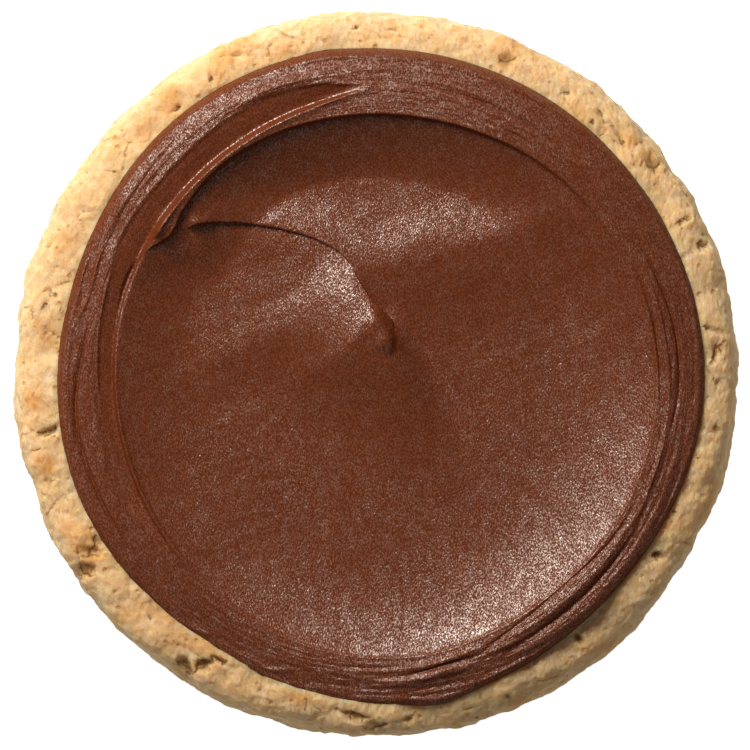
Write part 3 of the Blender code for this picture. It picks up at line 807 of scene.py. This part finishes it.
@dataclass
class Frosting:
    """Chocolate frosting: a dish inside a ridged rim, with a swirl, on the cookie's smooth top."""

    cookie: CookieForm
    centre: Pair = (0.61, -0.68)
    radius: float = 44.75
    waves: tuple = ((1, 0.6, 100), (2, 0.31, -84), (3, 0.17, 13), (4, 0.37, 10), (5, 0.24, -14))
    flaps: tuple = ((281, 5, 0.75), (100, 4, 0.25))
    floor_height: float = 12.8
    hollow_rise: float = 0.4
    slopes: tuple = ((-180, 0.66, 1.9, 2.9), (-150, 0.68, 1.9, 2.5), (-125, 0.66, 2.2, 2),
        (-100, 0.5, 3.2, 2), (-75, 0.35, 3.8, 2.8), (-50, 0.3, 4, 3.5), (-25, 0.34, 3.6, 3.2),
        (0, 0.48, 2.8, 2.8), (20, 0.64, 1.9, 3.1), (45, 0.72, 1.5, 3.8), (90, 0.76, 1.3, 4.2),
        (120, 0.76, 1.3, 4.2), (150, 0.72, 1.5, 3.6), (180, 0.66, 1.9, 2.9))
    shoulders: tuple = ((-180, 1, -0.5), (-150, 1.1, -0.5), (-125, 1.4, -0.5), (-100, 1.3, -0.6),
        (-75, 1, -0.7), (-50, 0.8, -0.9), (-25, 0.8, -0.9), (0, 0.8, -0.7), (45, 1, -0.8), (60, 1.1, -0.7),
        (100, 1.2, -0.8), (130, 1.2, -1.1), (150, 1.2, -1), (180, 1, -0.5))
    wall_power: float = 1.5
    rim_power: float = 2.5
    step_width: float = 0.35
    low_step: float = 0.2
    high_step: float = 0.65
    sink: float = 0.5
    bed_gap: float = 0.05
    edge: tuple = ((-80, 38.5), (-60, 37.9), (-40, 37.9), (-20, 38.05), (0, 38), (25, 37.45), (50, 37),
        (75, 36.35), (100, 36.45), (115, 36.65), (130, 36.4), (140, 35.6), (146, 35), (151, 36.6),
        (156, 37.6), (168, 37.1), (180, 36.4), (200, 36.2), (220, 36.5), (240, 37.3), (260, 38.2),
        (280, 38.5))
    lip_line: Line = Line(((-26.6, 19.75), (-24.5, 20.5), (-22.3, 20.85), (-18, 20.75), (-12.2, 19.8),
        (-7.5, 18.25), (-4.15, 15.9), (-2.2, 12.6), (-0.3, 9.95), (2.1, 7.6), (2.6, 5.65)))
    lip_ridge: Pair = (0.85, 4.2)
    lip_step: Triple = (0.25, -0.3, 2.5)
    magnet_reach: float = 2.5
    magnet_power: float = 1.8
    tongue_line: Line = Line(((5.5, 12), (3, 10.2), (0.6, 8.6), (-0.9, 7.2), (-2.4, 5.4), (-4.15, 3.5),
        (-6.2, 1.75), (-10.5, -0.6), (-20, -4)))
    tongue_height: float = 3.1
    tongue_centre: Pair = (-2.6, 6.0)
    tongue_turn: float = 142.0
    tongue_size: Pair = (12.0, 8.5)
    tongue_power: float = 1.35
    tongue_fall: Pair = (12.0, 5.0)
    tongue_end: Triple = (2.6, 5.5, 25.0)
    swirl_blend: tuple[Pair, Pair, float] = ((-8.0, 8.0), (11.0, 9.0), 0.15)
    curl: tuple[Pair, Pair, float] = ((0.8, 5.5), (3.1, 1.5), -66.0)
    curl_height: float = 0.45
    floor_swell: tuple = ((7.0, 15.5), 25.0, (8.0, 16.0), 12.0, 1.3)
    swells: tuple = (((19, 20), (12, 2.6), 17, 0.26), ((3.5, 17), (9, 3), 24, 0.3), ((-24.4, 20.9),
        (1.7, 0.7), 8, 0.45), ((-14, 6.5), (11, 3), 24, 0.15), ((-18, 4), (11, 3), 27, 0.14), ((-16, -2),
        (12, 2.6), 28, -0.1), ((-5.2, -14), (14, 1.6), 86, 0.12), ((29, 4), (3.5, 5), 0, 0.12), ((1.1, 4.5),
        (0.9, 0.7), 30, 0.3), ((10, -4), (7, 9), 20, -0.12))
    mark_turns: Pair = (20.0, 84.0)
    mark_size: Pair = (9.0, 1.7)
    mark_height: float = 0.035
    around: int = 600
    dish_rings: int = 82
    rim_rings: int = 54
    wall_rings: int = 14
    bed_rings: int = 6

    def polar(self, x: Array, y: Array) -> tuple[Array, Array]:
        """Distance from the frosting's centre, and direction in degrees."""
        across, up = x - self.centre[0], y - self.centre[1]
        return np.hypot(across, up), np.degrees(np.arctan2(up, across))

    def outline(self, degrees: Array) -> Array:
        """Distance from the centre to the outer edge: waves round a circle, and flaps.

        Args:
            degrees: direction of each place.

        Returns:
            The distance.
        """
        outline = np.full(np.shape(degrees), self.radius)
        for count, size, towards in self.waves:
            outline = outline + size * np.cos(count * np.radians(degrees - towards))
        for middle, half_width, size in self.flaps:
            outline = outline + size * bell(angle_from(degrees, middle) / half_width)
        return outline

    def dish_edge(self, degrees: Array) -> Array:
        """Distance from the centre to the edge of the dish."""
        return levels_round(degrees, self.edge)[0]

    def on_rim(self, distance: Array, degrees: Array, width: float) -> Array:
        """0 in the dish and 1 on the rim, over the given width outside the dish's edge."""
        return smooth((distance - self.dish_edge(degrees)) / width)

    def valley(self, distance: Array, degrees: Array) -> Array:
        """0 to 1 by the depth of the rim's valley."""
        return smooth(np.abs(FROSTING_STROKES[0].relief(distance, degrees)) / 0.5)

    def rim(self, degrees: Array) -> tuple[Array, Array]:
        """Distance from the centre at which the rim starts to fall, and how far it has risen till there."""
        width, rise = levels_round(degrees, self.shoulders)
        return self.outline(degrees) - width, rise

    def upper_part(self, degrees: Array) -> Array:
        """1 over the top of the dish, where its edge is a high step, and 0 down its sides and at the bottom."""
        upper = smooth((turned_into(degrees, -80.0, 280.0) - 30.0) / 40.0)
        return upper * smooth((152.0 - turned_into(degrees, -28.0, 332.0)) / 8.0)

    def swirl(self, x: Array, y: Array) -> Array:
        """Relief of the swirl.

        A ridge along the lip's line has a sharp step down at the line. A tongue climbs to its crest as
        (1 + d/reach)^p, falls as exp(-(d/fall)^2) behind it and ends smoothly at its tip. Below the line
        the higher of the two counts, blended, and a rounded curl is added.

        Args:
            x, y: places across and up.

        Returns:
            The relief at each place.
        """
        away, along, _ = self.lip_line.beside(x, y)
        begun = smooth(along / 0.1)
        height, reach = self.lip_ridge
        upper, lower, step_reach = self.lip_step
        step = np.where(away > 0.0, upper, lower) * bell(away / step_reach)
        relief = begun * smooth((0.75 - along) / 0.4) * height * bell(away / reach)
        relief = relief + begun * smooth((1.0 - along) / 0.3) * step
        covered = np.where(away > 0.0, smooth((along - 0.82) / 0.18), 1.0)
        past, along, _ = self.tongue_line.beside(x, y)
        reach, breadth = self.tongue_size
        climb = np.clip(1.0 + past / reach, 0.0, 1.0) ** self.tongue_power
        start, width, turn = self.tongue_end
        climb = climb * (1.0 - smooth((turned(x, y, turn)[0] - start) / width))
        body = climb * mound(x, y, self.tongue_centre, (1e3, breadth), self.tongue_turn)
        sharp, gentle = self.tongue_fall
        fall = sharp + gentle * smooth((along - 0.1) / 0.7)
        tongue = self.tongue_height * body * covered * bell(np.maximum(past, 0.0) / fall)
        centre, size, blend = self.swirl_blend
        blend = blend * covered * mound(x, y, centre, size, 0.0)
        relief = 0.5 * (relief + tongue + np.sqrt((relief - tongue) ** 2 + blend))
        return relief + self.curl_height * smooth((mound(x, y, *self.curl) - 0.25) / 0.35)

    def dish(self, part: Array, degrees: Array) -> Array:
        """Height of the dish: its floor, a square-law hollow, and a slope rise t^p up to the edge, where t
        runs from 0 at the slope's start to 1 at the edge.

        Args:
            part: distance from the centre over the distance of the dish's edge.
            degrees: direction, on which the slope's start, power and rise depend.

        Returns:
            The dish's height.
        """
        start, power, rise = levels_round(degrees, self.slopes)
        climb = np.clip((part - start) / (1.0 - start), 0.0, 1.0) ** power
        return self.floor_height + self.hollow_rise * part ** 2 + rise * climb

    def spread_marks(self, x: Array, y: Array) -> Array:
        """Broad swells and long faint marks that the spatula left in the dish.

        The swells are bells. The marks are noise, long one way and short across it: slanting in the upper
        half and the swirl, and upright in the lower half.

        Args:
            x, y: places across and up.

        Returns:
            The relief at each place.
        """
        centre, length, widths, turn, height = self.floor_swell
        relief = height * np.minimum(*(mound(x, y, centre, (length, width), turn) for width in widths))
        for centre, size, turn, height in self.swells:
            relief += height * mound(x, y, centre, size, turn)
        lower = smooth((4.0 - y) / 10.0) * smooth((x + 16.0) / 10.0)
        for turn, share in zip(self.mark_turns, (1.0 - lower, lower)):
            forward, sideways = turned(x, y, turn)
            length, width = self.mark_size
            places = np.column_stack((forward / length, sideways / width, np.zeros_like(x)))
            noise = Noise(1.0, 43).waves(places) + 0.4 * Noise(0.45, 44).waves(places)
            relief += share * self.mark_height * noise
        return relief

    def height(self, x: Array, y: Array) -> Array:
        """Height of the upper side.

        A step and a gentle rise lead from the dish to the rim, the strokes and the swirl are added, and
        (1 - t^q)^(1/q) rounds the rim off into the outer wall.

        Args:
            x, y: places across and up.

        Returns:
            The height at each place.
        """
        distance, degrees = self.polar(x, y)
        edge, outline = self.dish_edge(degrees), self.outline(degrees)
        start, rise = self.rim(degrees)
        dish = self.dish(np.clip(distance / edge, 0.0, 1.0), degrees)
        upper = self.upper_part(degrees)
        rise = rise * smooth((distance - edge) / (start - edge)) ** self.rim_power
        rim = self.dish(np.ones_like(edge), degrees) + self.low_step + self.high_step * upper + rise
        height = dish + (rim - dish) * smooth((distance - edge) / self.step_width + 0.5)
        for stroke in FROSTING_STROKES:
            height = height + stroke.relief(distance, degrees)
        height = height + self.swirl(x, y) + self.streaks(distance, degrees)
        height = height + self.spread_marks(x, y) * smooth((edge - distance) / 3.0)
        foot = self.cookie.top(x, y) - self.sink
        over = np.clip((distance - start) / (outline - start), 0.0, 1.0)
        return foot + (height - foot) * (1.0 - over ** self.wall_power) ** (1.0 / self.wall_power)

    def streaks(self, distance: Array, degrees: Array) -> Array:
        """Fine streaks round the rim: noise that is long round the centre and short across it, and breaks.

        Args:
            distance: distance of each place from the centre.
            degrees: direction of each place.

        Returns:
            The relief at each place.
        """
        turn = np.radians(degrees)
        rim = self.on_rim(distance, degrees, 1.5) * (1.0 - 0.7 * self.valley(distance, degrees))
        places = np.column_stack((np.cos(turn) * 5.0, np.sin(turn) * 5.0, distance / 0.55))
        short = places * (3.2, 3.2, 1.0)
        return rim * (0.1 * Noise(1.0, 41).waves(places) + 0.08 * Noise(1.0, 42).waves(short))

    def build(self) -> bpy.types.Object:
        """Builds the closed body: rings that follow the dish's edge, drawn close together at the lip.

        Returns:
            The frosting's object, with the attributes coarse, rim and sweep.
        """
        turn = round_turn(self.around)
        degrees = np.degrees(turn)
        edge, outline = self.dish_edge(degrees), self.outline(degrees)
        start, _ = self.rim(degrees)
        inner = 1.0 - (1.0 - np.linspace(0.0, 1.0, self.dish_rings, endpoint=False)[:, None]) ** 1.2
        middle = np.linspace(0.0, 1.0, self.rim_rings, endpoint=False)[:, None]
        wall = np.sin(np.linspace(0.0, 0.5 * math.pi, self.wall_rings))[:, None]
        under = np.linspace(0.97, 0.0, self.bed_rings)[:, None] * outline
        radii = np.concatenate(
            (inner * edge, edge + middle * (start - edge), start + wall * (outline - start), under)
        )
        x, y = self.centre[0] + radii * np.cos(turn), self.centre[1] + radii * np.sin(turn)
        seen = len(radii) - self.bed_rings
        x[:seen], y[:seen] = self.drawn_to_lip(x[:seen], y[:seen])
        top = self.height(x[:seen].ravel(), y[:seen].ravel()).reshape(seen, -1)
        z = np.concatenate((top, self.cookie.top(x[seen:], y[seen:]) + self.bed_gap))
        piece = closed_rings("frosting_spread", np.stack((x, y, z), axis=-1))
        paint(piece, "coarse", self.coarseness(x.ravel(), y.ravel()).reshape(x.shape))
        distance, degrees = self.polar(x, y)
        paint(piece, "rim", self.on_rim(distance, degrees, 0.8) * (1.0 - 0.75 * self.valley(distance, degrees)))
        towards = np.radians(degrees)
        sweep = (40.0 * np.cos(towards), 40.0 * np.sin(towards), 5.0 * distance)
        paint(piece, "sweep", np.stack(sweep, axis=-1))
        return piece

    def coarseness(self, x: Array, y: Array) -> Array:
        """How much the sugar grain stands out: most in the dish, less on the rim, least in the valley.

        Args:
            x, y: places across and up.

        Returns:
            The grain's strength at each place.
        """
        distance, degrees = self.polar(x, y)
        rim = 0.9 - 0.65 * self.valley(distance, degrees)
        uneven = 1.0 + 0.35 * Noise(7.0, 51).waves(np.column_stack((x, y, np.zeros_like(x))))
        return np.clip((1.0 + (rim - 1.0) * self.on_rim(distance, degrees, 0.8)) * uneven, 0.0, 1.4)

    def drawn_to_lip(self, x: Array, y: Array) -> tuple[Array, Array]:
        """Draws nearby points towards the lip's line, to a distance of reach (d/reach)^power.

        Args:
            x: places across, in rings.
            y: places up, in rings.

        Returns:
            The moved places.
        """
        away, along, out = self.lip_line.beside(x.ravel(), y.ravel())
        distance = np.abs(away)
        drawn = self.magnet_reach * (np.minimum(distance / self.magnet_reach, 1.0)) ** self.magnet_power
        shift = np.where(distance < self.magnet_reach, drawn - distance, 0.0)
        shift = shift * smooth(np.minimum(along, 1.0 - along) / 0.06)
        return x + (shift * out[:, 0]).reshape(x.shape), y + (shift * out[:, 1]).reshape(y.shape)


@dataclass
class Cookie:
    """Baked cookie: the smooth form with lumps, clumps, cracks, pits and pores in its dough."""

    form: CookieForm
    frosting: Frosting
    lumps: tuple = (
        (Noise(9.0, 11), 0.5), (Noise(4.2, 12), 0.36),
        (Noise(2.0, 21), 0.17), (Noise(1.0, 22), 0.13), (Noise(0.6, 23), 0.08),
    )
    clumps: tuple[Noise, float] = (Noise(5.2, 13), 0.4)
    crumb: tuple[Noise, float] = (Noise(1.7, 24), 0.1)
    pores: tuple[Noise, float, float] = (Noise(3.2, 25), 0.09, 0.35)
    base_fade: float = 2.5
    around: int = 880
    fine_from: float = 42.8
    fine_step: float = 0.22
    coarse_rings: int = 9
    hollows: Patches = Patches(3.0, (
        (67.2, 46.8, 0.95, 1.15, 0, 0.9), (43.9, 47, 1, 0.35, 25, 0.9), (47.9, 47.2, 1.3, 0.3, 5, 0.7),
        (37.4, 48.1, 1.5, 0.9, 10, 0.8), (26.4, 47, 0.4, 1.2, 0, 0.6), (21.5, 48.3, 0.7, 0.6, 0, 0.7),
        (3.3, 47.2, 1.3, 0.6, 30, 0.9), (7.5, 46.8, 0.3, 1.6, 25, 0.5), (55.9, 47, 0.6, 0.5, 0, 0.5),
        (87.2, 47.9, 0.9, 0.35, 0, 0.7), (93.3, 47.9, 0.6, 0.5, 0, 0.6), (113.7, 48, 0.9, 0.4, 10, 0.8),
        (119.3, 46.4, 0.25, 1, 20, 0.5), (126.9, 45.9, 0.8, 0.35, 0, 0.8), (168.7, 46.5, 0.7, 0.6, 0, 0.6),
        (166, 46, 0.3, 1, 30, 0.5), (190, 45.9, 0.45, 1.4, -10, 1), (214.1, 48.4, 1, 1.3, 20, 1.3),
        (212, 46.3, 0.7, 1.5, 30, 1.2), (211.1, 44.9, 0.9, 0.7, 0, 0.9), (227.1, 46, 0.7, 0.25, 40, 0.6),
        (237, 48.4, 1.4, 0.8, 30, 1.3), (239.4, 46.6, 0.7, 1.2, 35, 1.4), (241.3, 45, 1, 0.5, 0, 1.2),
        (266.5, 47.4, 2.2, 0.6, 12, 1), (270, 48.6, 1.6, 0.6, 5, 0.8), (275.4, 48.2, 0.5, 0.6, 0, 0.8),
        (292.2, 48.2, 0.4, 0.7, 10, 0.7), (307.4, 46, 0.5, 0.7, 0, 1.1), (327.2, 46.4, 0.5, 0.9, -20, 1.2),
        (350.6, 47.6, 0.6, 0.5, 0, 0.7), (358.5, 47.5, 0.5, 0.5, 0, 0.6),
    ))
    browned: Patches = Patches(2.0, (
        (67.2, 46.8, 1.6, 1.6, 0, 0.6), (37.4, 47.8, 2.4, 1.4, 0, 0.7), (106.5, 46.6, 2, 1.4, 0, 0.55),
        (133.5, 46.9, 2, 1.7, 0, 0.55), (157, 46.6, 2.4, 1.6, 0, 0.5), (184.6, 47.2, 1.7, 1.4, 0, 0.95),
        (195.5, 47.4, 1.6, 1.5, 0, 1), (257, 46, 3.2, 0.9, 0, 0.7), (212.5, 47, 2, 2.4, 0, 0.4),
    ))

    def surface(self, points: Array) -> tuple[Array, Array, Array]:
        """Relief and colouring of the dough.

        Lumps are smooth noise, clumps and crumbs are 0.35 - F^2 of the distance F to scattered centres,
        creases are bells along the clumps' borders, and pores are bells at some centres.

        Args:
            points: places on the smooth form, one in each row.

        Returns:
            How far each place stands out, how much painted shade it gets in its pits, pores and creases, over
            their browner crumb, and how amber it is, from 0 to 1.
        """
        relief = np.zeros(len(points))
        for noise, height in self.lumps:
            relief += height * noise.waves(points)
        noise, height = self.clumps
        first, second, mark = noise.clumps(points)
        relief += height * (0.35 - first ** 2)
        crease = bell((second - first) / 0.07) * smooth((mark - 0.6) / 0.2)
        noise, height = self.crumb
        relief += height * (0.35 - noise.clumps(points)[0] ** 2)
        noise, size, depth = self.pores
        near, _, mark = noise.clumps(points)
        pore = bell(near / size) * (mark > 0.62)
        distance = np.hypot(points[:, 0], points[:, 1])
        degrees = np.degrees(np.arctan2(points[:, 1], points[:, 0]))
        ragged = 0.5 * Noise(1.2, 31).waves(points) + 0.25 * Noise(0.5, 34).waves(points)
        hollow = self.hollows.strongest(distance + ragged, degrees) * (points[:, 2] > self.form.widest_height)
        amber = self.browned.strongest(distance, degrees) * (0.75 + 0.5 * Noise(1.6, 32).waves(points))
        spots = 0.5 * smooth((Noise(6.0, 33).waves(points) - 0.25) / 0.4)
        relief -= 0.1 * crease + depth * pore + 0.75 * hollow
        # Painted shade in the creases, pores and hollows, over their browner crumb.
        pit_and_shade = np.clip(0.2 * crease + 0.7 * pore + 0.75 * hollow, 0.0, 1.0)
        return relief, pit_and_shade, np.clip(np.maximum(amber, spots), 0.0, 1.0)

    def build(self) -> bpy.types.Object:
        """Builds the closed body: the smooth form's rings, moved along their normals.

        The relief fades out under the frosting and at the flat base.

        Returns:
            The cookie's object, with attributes for the painted shade in its pits, pores and creases, for its
            amber spots and for its browning towards the base.
        """
        section, normal = self.form.outline(self.fine_from, self.fine_step, self.coarse_rings)
        turn = round_turn(self.around)
        points, out = spun(section, turn).reshape(-1, 3), spun(normal, turn).reshape(-1, 3)
        relief, pit_and_shade, amber = self.surface(points)
        distance, degrees = self.frosting.polar(points[:, 0], points[:, 1])
        upper = points[:, 2] > self.form.widest_height
        clear = np.where(upper, smooth((distance - self.frosting.outline(degrees) + 0.9) / 1.4), 1.0)
        clear *= smooth(points[:, 2] / self.base_fade)
        moved = points + out * (relief * clear)[:, None]
        moved[:, 2] = np.maximum(moved[:, 2], 0.0)
        piece = closed_rings("cookie_dough", moved.reshape(-1, self.around, 3))
        low = smooth((self.form.widest_height + 1.0 - points[:, 2]) / 6.0)
        # The first attribute is painted shade in the pits, pores and creases.
        for name, values in (("pit_and_shade", pit_and_shade * clear), ("amber", amber), ("baked", 0.8 * low)):
            paint(piece, name, values.reshape(-1, self.around))
        return piece


@dataclass(frozen=True)
class SoftBox:
    """Square studio light that faces the object: direction and height in degrees, distance and side in
    metres, power in watts."""

    name: str
    azimuth: float
    elevation: float
    distance: float
    side: float
    power: float

    def build(self, target: Triple) -> None:
        """Places the light.

        Args:
            target: the place in metres that it faces.
        """
        light = bpy.data.lights.new(self.name, "AREA")
        light.shape, light.size, light.energy = "SQUARE", self.side, self.power
        lamp = placed(self.name, light)
        turn, rise = math.radians(self.azimuth), math.radians(self.elevation)
        level = self.distance * math.cos(rise)
        away = (level * math.cos(turn), level * math.sin(turn), self.distance * math.sin(rise))
        lamp.location = [start + part for start, part in zip(target, away)]
        lamp.rotation_euler = (math.radians(90.0) - rise, 0.0, turn + math.radians(90.0))


@dataclass
class Studio:
    """White floor, a soft box and a camera that looks straight down."""

    view_width: float = 103.9
    view_centre: Pair = (-0.12, -0.17)
    view_plane: float = 6.5
    lens: float = 600.0
    sensor: float = 36.0
    floor_size: float = 3.0
    overhead: float = 0.07
    horizon: float = 0.65
    target: Triple = (0.0, 0.0, 0.015)
    key: SoftBox = SoftBox("key", 123.0, 42.5, 0.6, 0.22, 5.4)

    def build(self) -> None:
        """Builds the floor, the sky, the light and the camera."""
        half = 0.5 * self.floor_size
        mesh = bpy.data.meshes.new("studio_floor")
        corners = [(-half, -half, 0.0), (half, -half, 0.0), (half, half, 0.0), (-half, half, 0.0)]
        mesh.from_pydata(corners, [], [(0, 1, 2, 3)])
        mesh.materials.append(FloorFinish().material())
        placed("studio_floor", mesh)
        self.key.build(self.target)
        self.build_sky()
        self.build_camera()

    def build_sky(self) -> None:
        """Soft light all round: overhead + horizon (1 - z)^3 for a ray that climbs by z, seen as white."""
        world = bpy.data.worlds.new("studio_sky")
        world.use_nodes = True
        nodes = Nodes(world.node_tree)
        incoming = nodes.add("NewGeometry").outputs["Incoming"]
        climb = nodes.math("ABSOLUTE", nodes.add("SeparateXYZ", {0: incoming}).outputs["Z"])
        low = nodes.math("POWER", nodes.math("SUBTRACT", 1.0, climb), 3.0)
        light = nodes.math("ADD", nodes.times(low, self.horizon), self.overhead)
        strength = nodes.math("MAXIMUM", light, nodes.add("LightPath").outputs["Is Camera Ray"])
        nodes.fill(world.node_tree.nodes["Background"], {"Color": WHITE, "Strength": strength})
        bpy.context.scene.world = world

    def build_camera(self) -> None:
        """A long lens straight above, as far away as fills the view's width at the cookie's outline."""
        camera = bpy.data.cameras.new("camera")
        camera.lens, camera.sensor_width, camera.clip_end = self.lens, self.sensor, 10.0
        eye = placed("camera", camera)
        away = self.view_width * self.lens / self.sensor
        eye.location = (self.view_centre[0] * MM, self.view_centre[1] * MM, (self.view_plane + away) * MM)
        bpy.context.scene.camera = eye
        bpy.context.scene.view_settings.view_transform = "Standard"


def main() -> None:
    """Builds the studio, the frosting and the cookie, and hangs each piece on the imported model's body."""
    logging.basicConfig(level=logging.INFO, format="%(message)s")
    Studio().build()
    effects = SharedEffects.build()
    form = CookieForm()
    frosting = Frosting(form)
    for maker, finish, node, slot in (
        (Cookie(form, frosting), DoughFinish(), "cookie", "baked_dough"),
        (frosting, ChocolateFinish(), "frosting", "chocolate_frosting"),
    ):
        piece = maker.build()
        piece.data.materials.append(finish.material(effects))
        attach(piece, "root")
        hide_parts(node)
        log.info("%s: %d points, %d faces", piece.name, len(piece.data.vertices), len(piece.data.polygons))
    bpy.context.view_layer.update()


if __name__ == "__main__":
    main()
